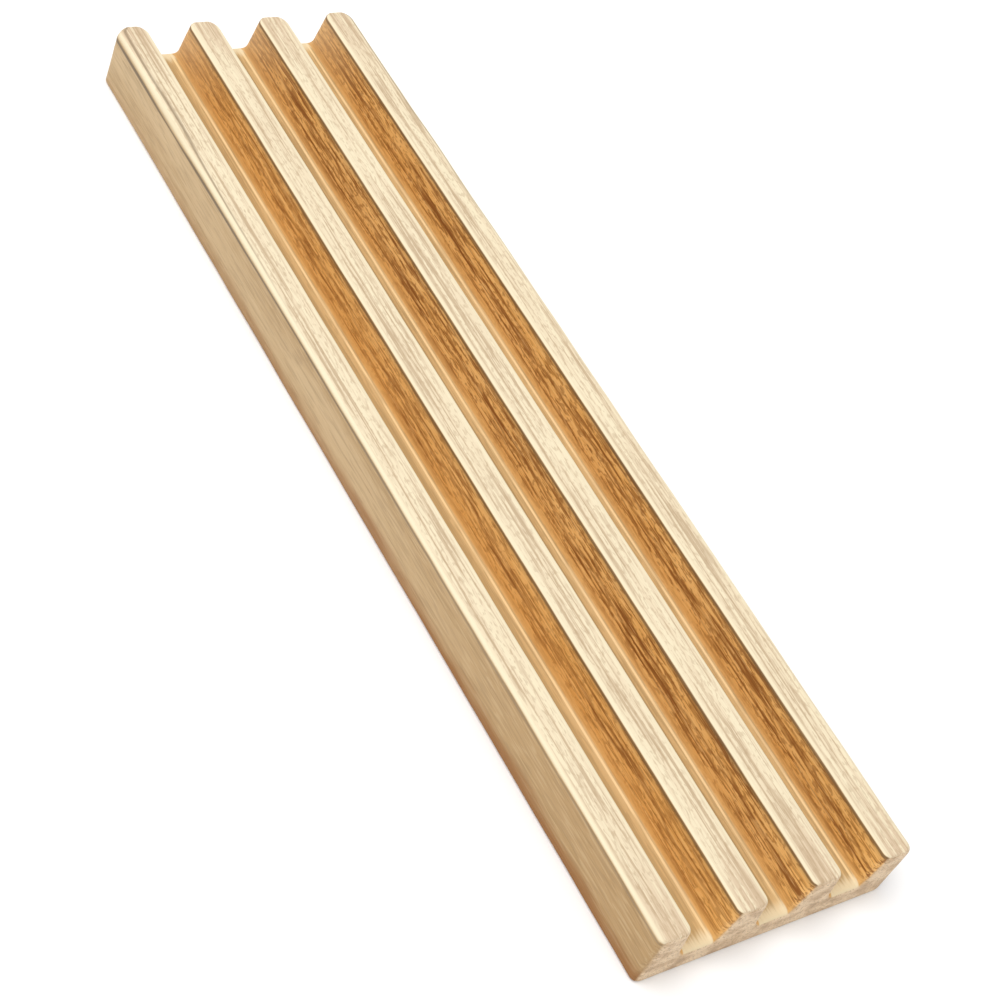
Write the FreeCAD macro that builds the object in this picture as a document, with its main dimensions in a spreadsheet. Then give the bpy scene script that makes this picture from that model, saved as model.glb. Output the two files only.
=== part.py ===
import FreeCAD, Part
import math
import os

import Sketcher

# A hand slicker for leather edges: one bar of hardwood with straight grooves milled along its top face.
# Frame: X across the grooves, Y along them, Z up. The origin is the middle of the flat underside.

NODE = "grooved_block"
SHEET = "dims"
TOUCHING = 1e-4  # how near two coordinates are when they mean the same place, mm
NOT_CUT = 1e-3  # a smaller share of the bar than this means that the grooves missed it

# Driving dimensions, in millimetres and degrees: alias, value, meaning.
DIMENSIONS = [
    ("block_length", 150.0, "bar, along the grooves"),
    ("block_width", 38.0, "bar, across the grooves"),
    ("block_height", 9.0, "bar, from the underside to the rib tops"),
    ("groove_count", 3, "how many grooves, evenly spaced"),
    ("groove_width", 6.6, "one groove, between the rib tops"),
    ("groove_depth", 5.5, "one groove, below the rib tops"),
    ("wall_draft", 10.0, "lean of each groove wall from the vertical, degrees"),
    ("root_radius", 1.1, "round between a groove wall and its floor"),
    ("edge_radius", 0.6, "sanded round on every outside edge"),
]

# The ribs share what the grooves leave of the bar's width.
RIB_WIDTH = (f"(({SHEET}.block_width - {SHEET}.groove_count * {SHEET}.groove_width)"
             f" / ({SHEET}.groove_count + 1))")
GROOVE_PITCH = f"({RIB_WIDTH} + {SHEET}.groove_width)"


def make_sheet(doc):
    """The spreadsheet that holds the driving dimensions."""
    sheet = doc.addObject("Spreadsheet::Sheet", SHEET)
    for row, (alias, value, meaning) in enumerate(DIMENSIONS, start=1):
        sheet.set(f"A{row}", meaning)
        sheet.set(f"B{row}", str(value))
        sheet.setAlias(f"B{row}", alias)
    doc.recompute()
    return sheet


def origin_part(body, role):
    """One of the body's own origin planes or axes."""
    return next(o for o in body.Origin.OriginFeatures if o.Role == role)


def end_sketch(body, name):
    """A sketch in the plane across the bar's middle, with X across the bar and Y up it."""
    sketch = body.newObject("Sketcher::SketchObject", name)
    sketch.AttachmentSupport = (origin_part(body, "XZ_Plane"), [""])
    sketch.MapMode = "FlatFace"
    return sketch


def add_outline(sketch, corners):
    """A closed outline of straight lines through the corners, joined end to start."""
    points = [FreeCAD.Vector(x, y, 0) for x, y in corners]
    for i, point in enumerate(points):
        sketch.addGeometry(Part.LineSegment(point, points[(i + 1) % len(points)]), False)
    for i in range(len(points)):
        sketch.addConstraint(Sketcher.Constraint("Coincident", i, 2, (i + 1) % len(points), 1))


def bind(sketch, name, expression, constraint):
    """A named constraint of the sketch that follows the sheet."""
    index = sketch.addConstraint(constraint)
    sketch.renameConstraint(index, name)
    sketch.setExpression(f"Constraints.{name}", expression)


def pad_bar(doc, body, sheet):
    """The plain bar: its end outline, drawn out to both sides of the middle."""
    half, top = sheet.block_width / 2, sheet.block_height
    sketch = end_sketch(body, "bar_outline")
    add_outline(sketch, [(-half, 0), (half, 0), (half, top), (-half, top)])
    for line in (0, 2):
        sketch.addConstraint(Sketcher.Constraint("Horizontal", line))
    for line in (1, 3):
        sketch.addConstraint(Sketcher.Constraint("Vertical", line))
    sketch.addConstraint(Sketcher.Constraint("Symmetric", 0, 1, 0, 2, -1, 1))
    bind(sketch, "width", f"{SHEET}.block_width", Sketcher.Constraint("DistanceX", 0, 1, 0, 2, 2 * half))
    bind(sketch, "height", f"{SHEET}.block_height", Sketcher.Constraint("DistanceY", 1, 1, 1, 2, top))
    pad = body.newObject("PartDesign::Pad", "bar")
    pad.Profile = sketch
    pad.SideType = "Symmetric"
    pad.setExpression("Length", f"{SHEET}.block_length")
    doc.recompute()
    return pad


def cut_first_groove(doc, body, sheet):
    """The groove nearest the left side: a trapezium, widest at the rib tops, cut from end to end."""
    rib = (sheet.block_width - sheet.groove_count * sheet.groove_width) / (sheet.groove_count + 1)
    left = rib - sheet.block_width / 2
    right = left + sheet.groove_width
    top, floor = sheet.block_height, sheet.block_height - sheet.groove_depth
    lean = sheet.groove_depth * math.tan(math.radians(sheet.wall_draft))
    sketch = end_sketch(body, "groove_outline")
    add_outline(sketch, [(left, top), (left + lean, floor), (right - lean, floor), (right, top)])
    left_wall, root, right_wall, mouth = range(4)
    for line in (root, mouth):
        sketch.addConstraint(Sketcher.Constraint("Horizontal", line))
    sketch.addConstraint(Sketcher.Constraint("Equal", left_wall, right_wall))
    to_middle = f"{SHEET}.block_width / 2 - {RIB_WIDTH}"
    bind(sketch, "to_middle", to_middle, Sketcher.Constraint("DistanceX", left_wall, 1, -1, 1, -left))
    bind(sketch, "rise", f"{SHEET}.block_height", Sketcher.Constraint("DistanceY", -1, 1, left_wall, 1, top))
    bind(sketch, "mouth", f"{SHEET}.groove_width",
         Sketcher.Constraint("DistanceX", mouth, 2, mouth, 1, sheet.groove_width))
    bind(sketch, "depth", f"{SHEET}.groove_depth",
         Sketcher.Constraint("DistanceY", left_wall, 2, left_wall, 1, sheet.groove_depth))
    bind(sketch, "lean", f"{SHEET}.groove_depth * tan({SHEET}.wall_draft * 1 deg)",
         Sketcher.Constraint("DistanceX", left_wall, 1, left_wall, 2, lean))
    pocket = body.newObject("PartDesign::Pocket", "first_groove")
    pocket.Profile = sketch
    pocket.SideType = "Symmetric"
    pocket.setExpression("Length", f"{SHEET}.block_length")
    doc.recompute()
    return pocket


def repeat_groove(doc, body, groove):
    """The other grooves, each one pitch further across the bar."""
    pattern = body.newObject("PartDesign::LinearPattern", "grooves")
    pattern.Originals = [groove]
    pattern.Direction = (origin_part(body, "X_Axis"), [""])
    pattern.setExpression("Length", f"({SHEET}.groove_count - 1) * {GROOVE_PITCH}")
    pattern.setExpression("Occurrences", f"{SHEET}.groove_count")
    body.Tip = pattern
    doc.recompute()
    return pattern


def edges_where(shape, wanted):
    """The names of the shape's edges for which wanted is true."""
    return [f"Edge{i}" for i, edge in enumerate(shape.Edges, start=1) if wanted(edge)]


def round_edges(doc, body, base, name, wanted, radius):
    """A fillet on the edges of base for which wanted is true, with its radius from the sheet."""
    fillet = body.newObject("PartDesign::Fillet", name)
    fillet.Base = (base, edges_where(base.Shape, wanted))
    fillet.setExpression("Radius", radius)
    doc.recompute()
    return fillet


def is_root(sheet):
    """Tests for the inside corners where a groove's walls meet its floor."""
    floor = sheet.block_height - sheet.groove_depth

    def test(edge):
        box = edge.BoundBox
        return box.YLength > sheet.block_length / 2 and abs(box.ZMax - floor) < TOUCHING

    return test


def is_outside(sheet):
    """Tests for the outside edges: the rim of both ends, the rib tops and the underside."""
    end, side, top = sheet.block_length / 2, sheet.block_width / 2, sheet.block_height

    def test(edge):
        box = edge.BoundBox
        at_end = box.YLength < TOUCHING and abs(abs(box.YMax) - end) < TOUCHING
        along = box.YLength > end
        on_top = along and abs(box.ZMin - top) < TOUCHING
        below = along and abs(box.ZMax) < TOUCHING and abs(abs(box.XMax) - side) < TOUCHING
        return at_end or on_top or below

    return test


def make_block(doc, sheet):
    """The whole slicker: the bar, its grooves, the rounds at their roots and the sanded edges."""
    body = doc.addObject("PartDesign::Body", NODE)
    body.Label = NODE
    body.Placement = FreeCAD.Placement()
    doc.recompute()
    bar = pad_bar(doc, body, sheet)
    groove = cut_first_groove(doc, body, sheet)
    grooves = repeat_groove(doc, body, groove)
    check_cut(bar, groove, grooves, sheet)
    rooted = round_edges(doc, body, grooves, "groove_roots", is_root(sheet), f"{SHEET}.root_radius")
    round_edges(doc, body, rooted, "sanded_edges", is_outside(sheet), f"{SHEET}.edge_radius")
    return body


def check_cut(bar, groove, grooves, sheet):
    """Stops if a groove took nothing off the bar, or if the pattern lost one."""
    one = bar.Shape.Volume - groove.Shape.Volume
    every = bar.Shape.Volume - grooves.Shape.Volume
    if one < NOT_CUT * bar.Shape.Volume:
        raise RuntimeError("the first groove cuts nothing")
    if abs(every - sheet.groove_count * one) > NOT_CUT * bar.Shape.Volume:
        raise RuntimeError("a groove is missing")


def check_document(doc, bodies):
    """Stops if any object failed, or if a sub-part isn't one sound solid."""
    for o in doc.Objects:
        if "Invalid" in o.State or "Error" in o.State:
            raise RuntimeError(f"{o.Name} failed: {o.State}")
    for body in bodies:
        if body.Shape.isNull() or not body.Shape.isValid() or len(body.Shape.Solids) != 1:
            raise RuntimeError(f"{body.Label} isn't one valid solid")


def main():
    doc = FreeCAD.newDocument("edge_slicker")
    sheet = make_sheet(doc)
    bodies = [make_block(doc, sheet)]
    doc.recompute()
    check_document(doc, bodies)
    os.makedirs("parts", exist_ok=True)
    for body in bodies:
        body.Shape.exportStep(f"parts/{body.Label}.step")
        box = body.Shape.BoundBox
        print(body.Label, round(body.Shape.Volume, 1), "mm3", box)


main()
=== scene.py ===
import itertools
import math

import bpy
import numpy as np
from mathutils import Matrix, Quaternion, Vector, noise


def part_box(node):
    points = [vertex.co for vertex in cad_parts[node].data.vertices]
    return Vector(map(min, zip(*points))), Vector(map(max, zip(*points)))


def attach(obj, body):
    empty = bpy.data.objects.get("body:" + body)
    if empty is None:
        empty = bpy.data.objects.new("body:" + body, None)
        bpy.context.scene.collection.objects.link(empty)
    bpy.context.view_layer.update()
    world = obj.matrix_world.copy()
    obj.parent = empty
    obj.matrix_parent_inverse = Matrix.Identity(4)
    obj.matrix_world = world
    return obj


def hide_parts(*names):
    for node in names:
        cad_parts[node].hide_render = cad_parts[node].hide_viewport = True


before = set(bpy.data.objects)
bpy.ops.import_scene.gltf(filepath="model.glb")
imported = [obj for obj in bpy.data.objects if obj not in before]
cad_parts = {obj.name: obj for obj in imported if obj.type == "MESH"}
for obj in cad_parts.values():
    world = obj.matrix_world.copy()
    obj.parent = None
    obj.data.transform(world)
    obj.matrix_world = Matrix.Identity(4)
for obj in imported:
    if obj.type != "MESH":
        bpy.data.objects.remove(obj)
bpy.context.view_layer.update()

# ---------------------------------------------------------------- sizes, in metres
MM = 0.001
NODE = "grooved_block"
LOW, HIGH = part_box(NODE)
LENGTH = HIGH.y - LOW.y
WIDTH = HIGH.x - LOW.x
GROOVES = 3
GROOVE_WIDTH = 6.6 * MM
GROOVE_DEPTH = 5.5 * MM
WALL_DRAFT = math.radians(10)
ROOT_RADIUS = 1.1 * MM
EDGE_RADIUS = 0.45 * MM  # sanded edges, sharper than the CAD part's
RIB_WIDTH = (WIDTH - GROOVES * GROOVE_WIDTH) / (GROOVES + 1)
PITCH = RIB_WIDTH + GROOVE_WIDTH

# Sanding and wear, all of it cut into the plain shape so that nothing leaves the CAD box.
NEAR_ROUND = 1.0 * MM  # plan-view round of each rib's corners at the near end
FAR_ROUND = 1.6 * MM  # the same at the far end, where the ribs are rounded like fingertips
RIGHT_EXTRA = 0.25 * MM  # the corners on the right of each rib are rounded this much more
END_RIM = 0.4 * MM  # round over the top, floor and underside at each end
LEFT_TOP_ROUND = 0.65 * MM  # the outer top edges are sanded more than those of the grooves
FAR_LEFT_ROUND = 1.35 * MM  # what the left one widens to at the far end
RIGHT_TOP_ROUND = 0.7 * MM
WIDENS_FROM, WIDENS_TO = 12 * MM, 70 * MM
EDGE_RADIUS_CHANGE = 0.30  # share by which an edge's radius comes and goes
RADIUS_REACH = 11 * MM  # how far along the bar such a change takes
EDGE_WAVER = 0.06 * MM  # how far a long edge strays sideways
WAVER_REACH = 6 * MM
WAVER_KEYS = 40  # the sideways patterns have this much added to the keys of the radius patterns
WIDEST_ROUND = 0.46  # share of a rib's width, where it narrows, that one edge's round may take
KEY_STEPS = (7.31, 3.77)  # how far apart in the noise the patterns of two keys are
KEY_START = 0.5
PLAIN = 2.0  # the value of rib, in mm, on the underside, which has none
RIGHT_HIGHLIGHT_REACH = 0.22  # how much further down, in mm, the pale top colour is painted on a rib's right edge: a painted highlight
RIGHT_HIGHLIGHT_ENDS = (0.6, 1.6)  # the depths, in mm, over which that painted highlight dies away

# The grain's ridges: how deep they are, and the length across and along of the two noises that they are.
GRAIN_RELIEF = 0.03 * MM
COARSE_ACROSS, COARSE_ALONG, COARSE_SHARE = 1.1 * MM, 26 * MM, 0.6
FINE_ACROSS, FINE_ALONG, FINE_SHARE = 0.45 * MM, 9 * MM, 0.4
FINE_SHIFT = 9.0

# How far a face has to lean, as a part of its outward normal, to count as one or another.
LEANS_DOWN = (0.55, 0.95)
SIDE_ABOVE = (0.82, 0.96)
SIDE_BELOW = (0.15, 0.55)
LEANS_RIGHT = (0.0, 0.3)
STILL_UPWARD = -0.2

# How finely the skin is divided.
STATION_STEP = 0.8 * MM
END_ZONE = 1.9 * MM
END_STEPS = 12
FACE_STEP = 0.32 * MM
UNDERSIDE_STEP = 1.2 * MM
EDGE_STEPS = 6
ROOT_STEPS = 6
SHORTEST = 1e-12  # a direction is divided by its own length, or by this if it is shorter


def smooth(value, low, high):
    """0 below low, 1 above high, and an even curve between."""
    t = np.clip((value - low) / (high - low), 0, 1)
    return t * t * (3 - 2 * t)


def waver(where, key, reach):
    """A smooth number from -1 to 1 that changes over reach metres, with its own pattern for each key."""
    return noise.noise(Vector((where / reach, key * KEY_STEPS[0], key * KEY_STEPS[1] + KEY_START)))


def end_inset(y, radius):
    """How far a face lies inside its plain place at y, for a quarter round of this radius at both ends."""
    over = abs(y) - (LENGTH / 2 - radius)
    if over <= 0:
        return 0.0
    return radius - math.sqrt(max(radius * radius - over * over, 0.0))


def corner_inset(y, facing):
    """The plan-view inset at y of a face that looks to the left (facing -1) or to the right (+1)."""
    radius = NEAR_ROUND if y < 0 else FAR_ROUND
    return end_inset(y, radius + (RIGHT_EXTRA if facing > 0 else 0.0))


def left_top_round(y):
    """The radius of the bar's left top edge, which is sanded more towards the far end."""
    return LEFT_TOP_ROUND + (FAR_LEFT_ROUND - LEFT_TOP_ROUND) * smooth(y, WIDENS_FROM, WIDENS_TO)


def corners_at(y):
    """The section's corners at y, counter-clockwise seen from the near end.

    Each is (x, z, radius, steps round it, length of a step to the next corner).
    """
    left, right, rim = corner_inset(y, -1), corner_inset(y, 1), end_inset(y, END_RIM)
    half, top, bottom = WIDTH / 2, HIGH.z - rim, LOW.z + rim
    floor = HIGH.z - GROOVE_DEPTH - rim
    lean = (top - floor) * math.tan(WALL_DRAFT)
    widest = WIDEST_ROUND * (RIB_WIDTH - left - right - 2 * EDGE_WAVER)
    keys = itertools.count()

    def edge(x, z, inward, step=FACE_STEP, radius=EDGE_RADIUS):
        key = next(keys)
        radius = min(radius * (1 + EDGE_RADIUS_CHANGE * waver(y, key, RADIUS_REACH)), widest)
        stray = EDGE_WAVER * (1 + waver(y, key + WAVER_KEYS, WAVER_REACH)) / 2
        return (x + inward * stray, z, radius, EDGE_STEPS, step)

    corners = [
        edge(-half + left, bottom, 1, UNDERSIDE_STEP),
        edge(half - right, bottom, -1),
        edge(half - right, top, -1, radius=RIGHT_TOP_ROUND),
    ]
    for i in reversed(range(GROOVES)):
        middle = (i - (GROOVES - 1) / 2) * PITCH
        to_left, to_right = GROOVE_WIDTH / 2 + right, GROOVE_WIDTH / 2 + left
        corners += [
            edge(middle + to_right, top, 1),
            (middle + to_right - lean, floor, ROOT_RADIUS, ROOT_STEPS, FACE_STEP),
            (middle - to_left + lean, floor, ROOT_RADIUS, ROOT_STEPS, FACE_STEP),
            edge(middle - to_left, top, -1),
        ]
    corners.append(edge(-half + left, top, 1, radius=float(left_top_round(y))))
    return corners


def arc_at(before, corner, after):
    """The points of the round at a corner, from one tangent point to the other, at even steps of angle."""
    here = np.array(corner[:2])
    back = np.array(before[:2]) - here
    on = np.array(after[:2]) - here
    back, on = back / np.linalg.norm(back), on / np.linalg.norm(on)
    half_angle = math.acos(max(-1.0, min(1.0, float(back @ on)))) / 2
    radius, steps = corner[2], corner[3]
    reach = radius / math.tan(half_angle)
    middle = here + (back + on) / np.linalg.norm(back + on) * radius / math.sin(half_angle)
    first, last = here + back * reach - middle, here + on * reach - middle
    turn = math.pi - 2 * half_angle
    shares = [k / steps for k in range(steps + 1)]
    return [middle + (first * math.sin((1 - s) * turn) + last * math.sin(s * turn)) / math.sin(turn)
            for s in shares]


def plain_counts():
    """How many steps each straight stretch of the section gets, from its length midway along the bar."""
    corners = corners_at(0.0)
    counts = []
    for i, corner in enumerate(corners):
        after = corners[(i + 1) % len(corners)]
        length = math.dist(corner[:2], after[:2])
        counts.append(max(2, round(length / corner[4])))
    return counts


def section_at(y, counts):
    """The section's outline at y as an array of (x, z), with the same number of points at every y."""
    corners = corners_at(y)
    n = len(corners)
    arcs = [arc_at(corners[i - 1], corners[i], corners[(i + 1) % n]) for i in range(n)]
    points = []
    for i, arc in enumerate(arcs):
        points += arc
        start, end = arc[-1], arcs[(i + 1) % n][0]
        points += [start + (end - start) * k / counts[i] for k in range(1, counts[i])]
    return np.array(points)


def stations():
    """The places along the bar where its section is drawn: even in the middle, closer over the end rounds."""
    plain = LENGTH / 2 - END_ZONE
    n = round(2 * plain / STATION_STEP)
    middle = [-plain + 2 * plain * k / n for k in range(n + 1)]
    over = [plain + END_ZONE * math.sin(math.pi / 2 * k / END_STEPS) for k in range(1, END_STEPS + 1)]
    return [-y for y in reversed(over)] + middle + over


def grain_relief(x, y, z):
    """From 0 to 1: how far the grain's soft lines have sunk at a point, long in Y and narrow across."""
    coarse = noise.noise(Vector((x / COARSE_ACROSS, y / COARSE_ALONG, z / COARSE_ACROSS)))
    fine = noise.noise(Vector((x / FINE_ACROSS + FINE_SHIFT, y / FINE_ALONG, z / FINE_ACROSS)))
    return min(1.0, max(0.0, 0.5 + COARSE_SHARE * coarse + FINE_SHARE * fine))


def skin():
    """The bar's skin: points (stations x outline x 3), with its outward normals in the section."""
    counts = plain_counts()
    ys = stations()
    flat = np.array([section_at(y, counts) for y in ys])
    tangent = np.roll(flat, -1, axis=1) - np.roll(flat, 1, axis=1)
    tangent /= np.maximum(np.linalg.norm(tangent, axis=2, keepdims=True), SHORTEST)
    normal = np.stack([tangent[..., 1], -tangent[..., 0]], axis=2)
    points = np.empty((*flat.shape[:2], 3))
    for m, y in enumerate(ys):
        for k, (x, z) in enumerate(flat[m]):
            sunk = GRAIN_RELIEF * grain_relief(x, y, z)
            points[m, k] = (x - normal[m, k, 0] * sunk, y, z - normal[m, k, 1] * sunk)
    return points, normal


def places(points, normal):
    """What the wood's looks depend on, for each point, with lengths in millimetres.

    rib is the way in from a rib's edge, less than 0 over a groove and PLAIN on the underside; depth is the
    way down inside a groove; outer is 1 on the two outer sides; down is the way below the rib tops anywhere;
    turn goes from 0 to 1 round the outer edges, from level to upright; below is the way down from where the
    left top edge's round ends.
    """
    x, y, z, nx = points[..., 0], points[..., 1], points[..., 2], normal[..., 0]
    last_rib = GROOVES / 2 * PITCH
    nearest = np.clip(np.round((x + last_rib) / PITCH), 0, GROOVES) * PITCH - last_rib
    rib = (RIB_WIDTH / 2 - np.abs(x - nearest)) / MM
    at_outside = np.abs(x) > last_rib
    under = smooth(-normal[..., 1], *LEANS_DOWN)
    rib = rib * (1 - under) + PLAIN * under
    rims = np.array([end_inset(one, END_RIM) for one in y[:, 0]])[:, None]
    down = (HIGH.z - rims - z) / MM
    side_above = smooth(np.abs(nx), *SIDE_ABOVE)
    side_below = smooth(np.abs(nx), *SIDE_BELOW)
    outer = at_outside * np.where(z < (LOW.z + HIGH.z) / 2, side_below, side_above)
    upward = normal[..., 1] > STILL_UPWARD
    # Painted highlight: the pale top colour reaches further down the rounds of the rib's right edges.
    highlight_reach = RIGHT_HIGHLIGHT_REACH * smooth(nx, *LEANS_RIGHT) * (1 - smooth(down, *RIGHT_HIGHLIGHT_ENDS))
    depth = np.where(at_outside | ~upward, 0.0, np.maximum(down - highlight_reach, 0.0))
    turn = np.where(at_outside & (nx * x > 0), np.arcsin(np.clip(np.abs(nx), 0, 1)) / (math.pi / 2), 0.0)
    below = down - left_top_round(y) / MM
    return {"rib": rib, "depth": depth, "outer": outer, "down": down, "turn": turn, "below": below}


def build_block():
    """The slicker as one closed mesh: the skin, and an end face at each end."""
    points, normal = skin()
    m, n = points.shape[:2]
    faces = []
    for i in range(m - 1):
        for k in range(n):
            after = (k + 1) % n
            faces.append((i * n + k, (i + 1) * n + k, (i + 1) * n + after, i * n + after))
    faces.append(tuple(range(n)))
    faces.append(tuple((m - 1) * n + k for k in reversed(range(n))))
    mesh = bpy.data.meshes.new("slicker")
    mesh.from_pydata(points.reshape(-1, 3).tolist(), [], faces)
    smooth_faces = np.ones(len(faces), bool)
    smooth_faces[-2:] = False
    mesh.polygons.foreach_set("use_smooth", smooth_faces)
    for name, values in places(points, normal).items():
        layer = mesh.attributes.new(name, "FLOAT", "POINT")
        layer.data.foreach_set("value", values.astype(np.float32).reshape(-1))
    mesh.validate()
    mesh.update()
    block = bpy.data.objects.new("slicker", mesh)
    bpy.context.scene.collection.objects.link(block)
    return block


# ---------------------------------------------------------------- materials
class Graph:
    """A material's nodes, made one call at a time."""

    def __init__(self, name):
        self.material = bpy.data.materials.new(name)
        self.material.use_nodes = True
        self.tree = self.material.node_tree
        self.shader = self.tree.nodes["Principled BSDF"]

    def node(self, kind, **settings):
        made = self.tree.nodes.new(kind)
        for key, value in settings.items():
            setattr(made, key, value)
        return made

    def feed(self, socket, value):
        """Joins a socket to another one, or sets its value; None leaves it as it is."""
        if isinstance(value, bpy.types.NodeSocket):
            self.tree.links.new(value, socket)
        elif value is not None:
            socket.default_value = value

    def math(self, operation, a, b=None, c=None):
        made = self.node("ShaderNodeMath", operation=operation)
        for socket, value in zip(made.inputs, (a, b, c)):
            self.feed(socket, value)
        return made.outputs[0]

    def product(self, *values):
        """The values multiplied together."""
        result = values[0]
        for value in values[1:]:
            result = self.math("MULTIPLY", result, value)
        return result

    def coordinate(self, name):
        """One of the piece's own coordinates: Object or Normal."""
        return self.node("ShaderNodeTexCoord").outputs[name]

    def parts(self, vector):
        """A vector's X, Y and Z."""
        made = self.node("ShaderNodeSeparateXYZ")
        self.feed(made.inputs[0], vector)
        return made.outputs

    def attribute(self, name):
        return self.node("ShaderNodeAttribute", attribute_name=name).outputs["Fac"]

    def noise(self, size, detail=2.0, roughness=0.5, distortion=0.0, shift=(0, 0, 0)):
        """A noise whose lumps are about size (metres across, along, up)."""
        place = self.node("ShaderNodeMapping")
        self.feed(place.inputs["Vector"], self.coordinate("Object"))
        place.inputs["Scale"].default_value = [1 / s for s in size]
        place.inputs["Location"].default_value = shift
        made = self.node("ShaderNodeTexNoise")
        self.feed(made.inputs["Vector"], place.outputs[0])
        made.inputs["Scale"].default_value = 1.0
        made.inputs["Detail"].default_value = detail
        made.inputs["Roughness"].default_value = roughness
        made.inputs["Distortion"].default_value = distortion
        return made.outputs["Fac"]

    def band(self, value, low, high, to_low=0.0, to_high=1.0):
        """to_low up to low, to_high from high on, and an even curve between; low may be the larger."""
        made = self.node("ShaderNodeMapRange", interpolation_type="SMOOTHSTEP")
        for key, number in zip(("From Min", "From Max", "To Min", "To Max"), (low, high, to_low, to_high)):
            made.inputs[key].default_value = number
        self.feed(made.inputs["Value"], value)
        return made.outputs[0]

    def mix(self, share, a, b):
        """Colour a with this share of b."""
        made = self.node("ShaderNodeMix", data_type="RGBA")
        self.feed(made.inputs[0], share)
        self.feed(made.inputs[6], a if isinstance(a, bpy.types.NodeSocket) else (*a, 1))
        self.feed(made.inputs[7], b if isinstance(b, bpy.types.NodeSocket) else (*b, 1))
        return made.outputs[2]

    def layered(self, colour, *layers):
        """A colour with each layer, a share and another colour, laid over it in turn."""
        for share, over in layers:
            colour = self.mix(share, colour, over)
        return colour


# Linear colours.
CREAM = (0.715, 0.595, 0.41)
# The next colour is the pale of the grain's lines and also a painted highlight on the rib edges.
CREAM_PALE_AND_HIGHLIGHT = (0.765, 0.668, 0.465)
CREAM_DASH = (0.425, 0.3, 0.175)
CREAM_TIP = (0.586, 0.442, 0.293)
OCHRE = (0.755, 0.402, 0.108)
OCHRE_PALE = (0.9, 0.56, 0.215)
OCHRE_DARK = (0.255, 0.09, 0.01)
OCHRE_FOOT = (0.558, 0.302, 0.091)
OCHRE_TIP = (0.60, 0.38, 0.175)
# Painted shade: the dark colour laid just below the rib tops at the mouth of each groove.
MOUTH_SHADE = (0.177, 0.098, 0.033)
FLOOR_TAN = (0.585, 0.39, 0.17)
# The next colour is the brown of the floor's grain and also the painted shadow in the middle of each floor.
FLOOR_BROWN_AND_SHADOW = (0.39, 0.25, 0.1)
# Painted highlight: the bright colour of the thin line at the foot of each groove wall.
FLOOR_FOOT_HIGHLIGHT = (0.818, 0.586, 0.288)
FLOOR_TIP = (0.744, 0.614, 0.391)
TAN = (0.43, 0.285, 0.135)
TAN_PALE = (0.54, 0.385, 0.21)
TAN_DARK = (0.205, 0.13, 0.06)
TAN_RED = (0.26, 0.1, 0.014)
TAN_NEAR = (0.405, 0.245, 0.095)
# Painted shade: the dark colour of thin lines along the outer top edges.
BRINK_SHADE = (0.175, 0.122, 0.066)
END_BEIGE = (0.56, 0.385, 0.225)
END_PALE = (0.73, 0.55, 0.355)
END_DARK = (0.3, 0.19, 0.105)
STAGE_WHITE = (0.93, 0.93, 0.93)

WOOD_ROUGHNESS = (0.70, 0.54)  # where the pattern of lines is low, and where it is high
STAGE_ROUGHNESS = 0.9
BUMP_STRENGTH = 0.6
BUMP_HEIGHT = 0.07 * MM


class Grain:
    """The patterns that run through the wood, long in Y, each near 0.5 and seldom beyond 0.3 and 0.7."""

    def __init__(self, g):
        self.broad = g.noise((5 * MM, 60 * MM, 5 * MM), shift=(3, 0, 1))
        self.cluster = g.noise((2.6 * MM, 11 * MM, 2.6 * MM), shift=(1, 6, 2))
        self.wander = g.noise((30 * MM, 9 * MM, 30 * MM), shift=(7, 1, 5))
        self.lines = g.noise((0.44 * MM, 19 * MM, 0.44 * MM), detail=3, roughness=0.56, distortion=0.45)
        self.dashes = g.noise((0.34 * MM, 3.9 * MM, 0.34 * MM), detail=1, distortion=0.35, shift=(5, 2, 8))
        self.flecks = g.noise((0.30 * MM, 1.1 * MM, 0.30 * MM), detail=1, distortion=0.3, shift=(2, 9, 4))
        # Not a pattern of its own but a share, from 0.72 to 1, that gathers dark marks in clusters.
        self.gathered = g.band(self.cluster, 0.36, 0.62, 0.72, 1.0)


def top_colour(g, grain, rib, along):
    """The rib tops: cream, grey-beige lines in the middle of each, a painted highlight at the edges, darker
    tips.
    """
    tips = g.band(g.math("ABSOLUTE", along), 62 * MM, 75.5 * MM, 0.0, 0.95)
    middle = g.band(rib, 0.35, 1.15, 0.2, 1.0)
    dark_lines = g.product(g.band(grain.lines, 0.50, 0.37), middle, 0.72)
    dark_dashes = g.product(g.band(grain.dashes, 0.46, 0.36), middle, grain.gathered, 0.42)
    pale_lines = g.product(g.band(grain.lines, 0.51, 0.62), 0.8)
    dark_flecks = g.product(g.band(grain.flecks, 0.47, 0.35), middle, 0.42)
    # Painted highlight: the rounds of the rib edges made paler, as where they catch the light.
    painted_edge_highlight = g.band(rib, 0.75, 0.30, 0.0, 0.9)
    return g.layered(CREAM, (tips, CREAM_TIP), (dark_lines, CREAM_DASH), (dark_dashes, CREAM_DASH),
                     (pale_lines, CREAM_PALE_AND_HIGHLIGHT), (dark_flecks, CREAM_DASH), (painted_edge_highlight, CREAM_PALE_AND_HIGHLIGHT))


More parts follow.
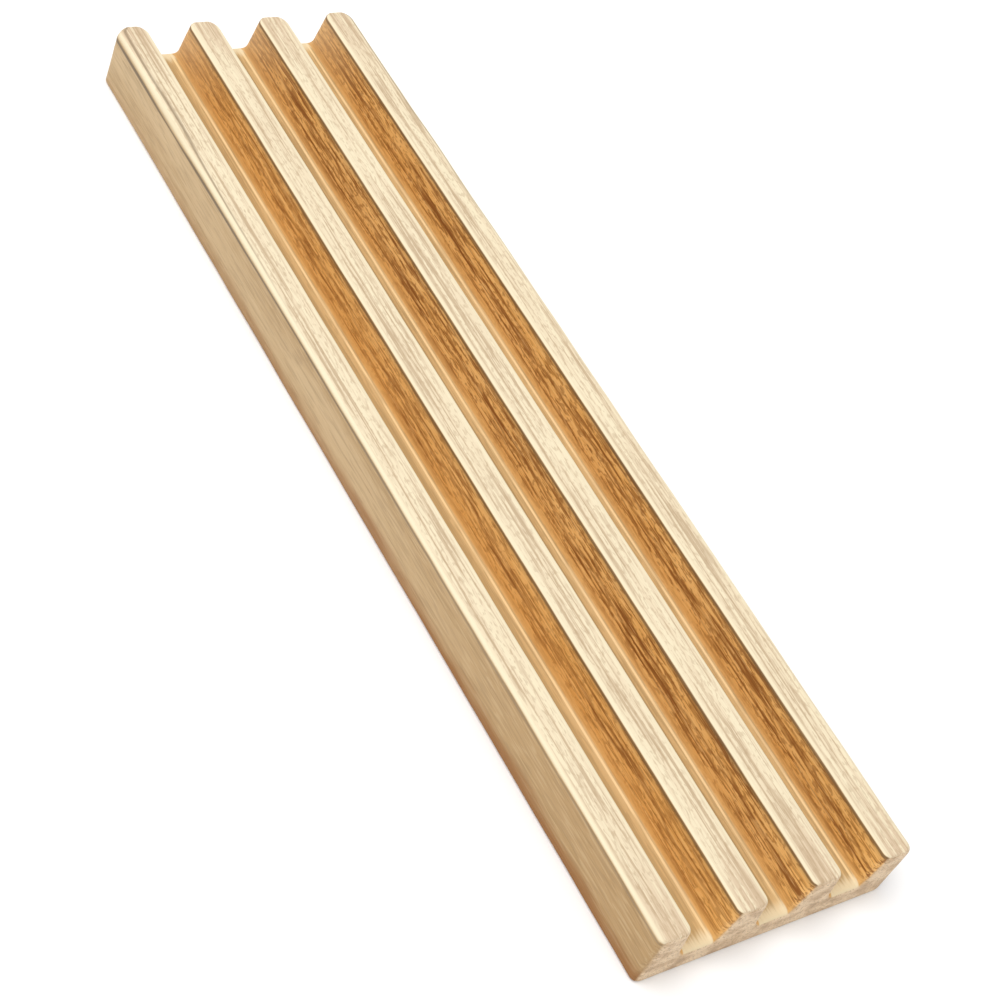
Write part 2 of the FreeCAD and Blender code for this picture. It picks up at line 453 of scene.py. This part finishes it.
def wall_colour(g, grain, depth, along, across):
    """The groove walls: ochre, painted shade at the mouth, wavy dark streaks and a smoother foot.

    The first groove's walls are calmer than the others', and all are paler at the far tips.
    """
    calm_first = g.band(across, -8 * MM, -3 * MM, 0.72, 1.0)
    rough = g.product(g.band(depth, 5.1, 3.9, 0.5, 1.0), calm_first)
    pale_patches = g.band(grain.broad, 0.38, 0.62, 0.0, 0.25)
    pale_lines = g.band(grain.lines, 0.52, 0.64, 0.0, 0.4)
    dark_lines = g.product(g.band(grain.lines, 0.50, 0.38), rough, grain.gathered)
    dark_dashes = g.product(g.band(grain.dashes, 0.47, 0.38), rough, grain.gathered, 0.7)
    pale_dashes = g.product(g.band(grain.dashes, 0.53, 0.64), rough, 0.4)
    dark_flecks = g.product(g.band(grain.flecks, 0.47, 0.36), rough, 0.55)
    streak_depth = g.math("MULTIPLY_ADD", grain.wander, -3.4, 4.3)
    off_streak = g.math("ABSOLUTE", g.math("SUBTRACT", depth, streak_depth))
    streak = g.product(g.band(off_streak, 0.32, 0.08), grain.gathered, 0.55)
    far_tips = g.band(along, 58 * MM, 74 * MM, 0.0, 0.5)
    foot = g.band(depth, 4.2, 5.0, 0.0, 0.6)
    # Painted shade: the walls darker just below the rib tops, and a thin dark painted shade line there.
    shade = g.band(depth, 1.3, 0.4, 0.0, 0.3)
    mouth_shade_line = g.product(g.band(depth, 0.10, 0.20), g.band(depth, 0.60, 0.34), 0.9)
    return g.layered(OCHRE, (pale_patches, OCHRE_PALE), (pale_lines, OCHRE_PALE), (dark_lines, OCHRE_DARK),
                     (dark_dashes, OCHRE_DARK), (pale_dashes, OCHRE_PALE), (dark_flecks, OCHRE_DARK),
                     (streak, OCHRE_DARK), (far_tips, OCHRE_TIP), (foot, OCHRE_FOOT),
                     (shade, MOUTH_SHADE), (mouth_shade_line, MOUTH_SHADE))


def floor_colour(g, grain, rib, along, across):
    """The groove floors: tan, painted shadow in the middle, a painted highlight along each foot, pale tips.
    """
    # Painted shadow: the floor darker beside the rib edge and in its middle, as if in the rib's shadow.
    painted_shadow_middle = g.product(g.band(rib, -2.16, -2.34), g.band(across, -9 * MM, -3 * MM, 0.5, 0.9))
    dark_lines = g.product(g.band(grain.lines, 0.5, 0.38), 0.6)
    dark_dashes = g.product(g.band(grain.dashes, 0.47, 0.38), 0.4)
    at_foot = g.product(g.band(rib, -1.58, -1.48), g.band(rib, -1.24, -1.34))
    # Painted highlight: a bright thin line where the floor rounds up into each wall.
    painted_foot_highlight = g.product(at_foot, g.band(grain.cluster, 0.34, 0.52, 0.45, 1.0))
    ragged = g.math("ADD", g.math("ABSOLUTE", along), g.math("MULTIPLY", grain.dashes, 2 * MM))
    tips = g.product(g.band(ragged, 73.6 * MM, 75.4 * MM), 0.9)
    return g.layered(FLOOR_TAN, (painted_shadow_middle, FLOOR_BROWN_AND_SHADOW), (dark_lines, FLOOR_BROWN_AND_SHADOW),
                     (dark_dashes, FLOOR_BROWN_AND_SHADOW), (painted_foot_highlight, FLOOR_FOOT_HIGHLIGHT), (tips, FLOOR_TIP))


def side_colour(g, grain, down, along, turn, below):
    """The outer sides: tan and finely marked, redder along the bottom, with a thin painted shade line at the
    top.
    """
    pale_patches = g.band(grain.broad, 0.36, 0.64)
    near = g.product(g.band(along, 30 * MM, -70 * MM), 0.85)
    dark_lines = g.product(g.band(grain.lines, 0.47, 0.37), grain.gathered, 0.22)
    dark_dashes = g.product(g.band(grain.dashes, 0.46, 0.37), grain.gathered, 0.22)
    pale_dashes = g.product(g.band(grain.dashes, 0.54, 0.65), 0.45)
    low = g.band(g.math("MULTIPLY_ADD", grain.cluster, 2.8, down), 7.4, 9.9)
    red_foot = g.product(low, g.band(along, 70 * MM, -40 * MM, 0.3, 1.0), 0.9)
    # Painted shade: a thin dark line just below the round of the outer top edge.
    brink_shade = g.product(g.band(turn, 0.80, 0.92), g.band(below, 0.34, 0.10),
                      g.band(along, -60 * MM, 40 * MM, 0.5, 1.0))
    return g.layered(TAN, (pale_patches, TAN_PALE), (near, TAN_NEAR), (dark_lines, TAN_DARK),
                     (dark_dashes, TAN_DARK), (pale_dashes, TAN_PALE), (red_foot, TAN_RED), (brink_shade, BRINK_SHADE))


def bevel_shade_line(g, turn, along):
    """How strongly a thin painted shade line shows where an outer edge's round turns level, on the far half
    only.
    """
    line = g.product(g.band(turn, 0.05, 0.14), g.band(turn, 0.30, 0.19))
    return g.product(line, g.band(along, 8 * MM, 45 * MM, 0.0, 0.6))


def end_colour(g):
    """The end grain: beige, with soft mottling and fine pores."""
    mottle = g.noise((2.4 * MM, 2.4 * MM, 1.7 * MM), detail=3, roughness=0.55, shift=(2, 7, 4))
    pores = g.noise((0.30 * MM, 0.30 * MM, 0.30 * MM), detail=1, shift=(8, 1, 3))
    return g.layered(END_BEIGE, (g.band(mottle, 0.38, 0.62), END_PALE),
                     (g.band(mottle, 0.44, 0.30, 0.0, 0.45), END_DARK),
                     (g.band(pores, 0.52, 0.66, 0.0, 0.6), END_DARK))


def wood():
    """The slicker's material: the look of each kind of surface, laid on where that surface is."""
    g = Graph("slicker_wood")
    grain = Grain(g)
    rib, depth, outer, down, turn, below = (
        g.attribute(name) for name in ("rib", "depth", "outer", "down", "turn", "below"))
    across, along, _ = g.parts(g.coordinate("Object"))
    _, lengthwise, _ = g.parts(g.coordinate("Normal"))
    in_groove = g.band(depth, 0.08, 0.20)
    on_floor = g.product(g.band(depth, 4.75, 5.10), g.band(rib, -1.04, -1.22))
    on_end = g.band(g.math("ABSOLUTE", lengthwise), 0.70, 0.93)
    colour = g.layered(top_colour(g, grain, rib, along),
                       (bevel_shade_line(g, turn, along), BRINK_SHADE),
                       (outer, side_colour(g, grain, down, along, turn, below)),
                       (in_groove, wall_colour(g, grain, depth, along, across)),
                       (on_floor, floor_colour(g, grain, rib, along, across)),
                       (on_end, end_colour(g)))
    g.feed(g.shader.inputs["Base Color"], colour)
    g.feed(g.shader.inputs["Roughness"], g.band(grain.lines, 0.35, 0.65, *WOOD_ROUGHNESS))
    bump = g.node("ShaderNodeBump")
    bump.inputs["Strength"].default_value = BUMP_STRENGTH
    bump.inputs["Distance"].default_value = BUMP_HEIGHT
    g.feed(bump.inputs["Height"], g.math("ADD", grain.lines, grain.dashes))
    g.feed(g.shader.inputs["Normal"], bump.outputs[0])
    return g.material


def floor_material():
    g = Graph("pale_floor")
    g.shader.inputs["Base Color"].default_value = (*STAGE_WHITE, 1)
    g.shader.inputs["Roughness"].default_value = STAGE_ROUGHNESS
    return g.material


# ---------------------------------------------------------------- stage, light and camera
CAMERA_AIM = Vector((-2.2 * MM, -12.3 * MM, 4.5 * MM))
CAMERA_DISTANCE = 273.1 * MM
CAMERA_TURN = math.radians(50.3)  # from +Y towards +X
CAMERA_DROP = math.radians(44.75)  # below the horizon
CAMERA_ROLL = math.radians(27.67)
CAMERA_SEES = (0.01, 10.0)  # the nearest and the furthest, in metres
LENS_MM = 77.9
SENSOR_MM = 36.0

STAGE_HALF = 3.0
SKY_STRENGTH = 0.79
KEY_PLACE = Vector((-0.30, 0.10, 0.80))
KEY_SIZE = 0.9
KEY_WATTS = 5.4


def make_camera():
    data = bpy.data.cameras.new("camera")
    data.lens = LENS_MM
    data.sensor_width = SENSOR_MM
    data.clip_start, data.clip_end = CAMERA_SEES
    camera = bpy.data.objects.new("camera", data)
    bpy.context.scene.collection.objects.link(camera)
    ahead = Vector((math.sin(CAMERA_TURN) * math.cos(CAMERA_DROP),
                    math.cos(CAMERA_TURN) * math.cos(CAMERA_DROP),
                    -math.sin(CAMERA_DROP)))
    camera.location = CAMERA_AIM - ahead * CAMERA_DISTANCE
    camera.rotation_mode = "QUATERNION"
    camera.rotation_quaternion = ahead.to_track_quat("-Z", "Y") @ Quaternion((0, 0, 1), CAMERA_ROLL)
    bpy.context.scene.camera = camera


def make_stage():
    """The pale floor that the bar lies on."""
    corners = [(x * STAGE_HALF, y * STAGE_HALF, 0) for x, y in ((-1, -1), (1, -1), (1, 1), (-1, 1))]
    mesh = bpy.data.meshes.new("floor")
    mesh.from_pydata(corners, [], [(0, 1, 2, 3)])
    floor = bpy.data.objects.new("floor", mesh)
    floor.location.z = LOW.z
    mesh.materials.append(floor_material())
    bpy.context.scene.collection.objects.link(floor)


def make_light():
    """An even white sky, and one large soft lamp above that points at the frame's origin."""
    world = bpy.data.worlds.new("studio")
    world.use_nodes = True
    sky = world.node_tree.nodes["Background"]
    sky.inputs["Color"].default_value = (1, 1, 1, 1)
    sky.inputs["Strength"].default_value = SKY_STRENGTH
    bpy.context.scene.world = world
    data = bpy.data.lights.new("key", "AREA")
    data.shape = "DISK"
    data.size = KEY_SIZE
    data.energy = KEY_WATTS
    key = bpy.data.objects.new("key", data)
    key.location = KEY_PLACE
    key.rotation_mode = "QUATERNION"
    key.rotation_quaternion = (-KEY_PLACE).to_track_quat("-Z", "Y")
    bpy.context.scene.collection.objects.link(key)


def main():
    make_camera()
    make_light()
    make_stage()
    block = build_block()
    block.data.materials.append(wood())
    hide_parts(NODE)
    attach(block, "root")
    bpy.context.scene.view_settings.view_transform = "Standard"


main()
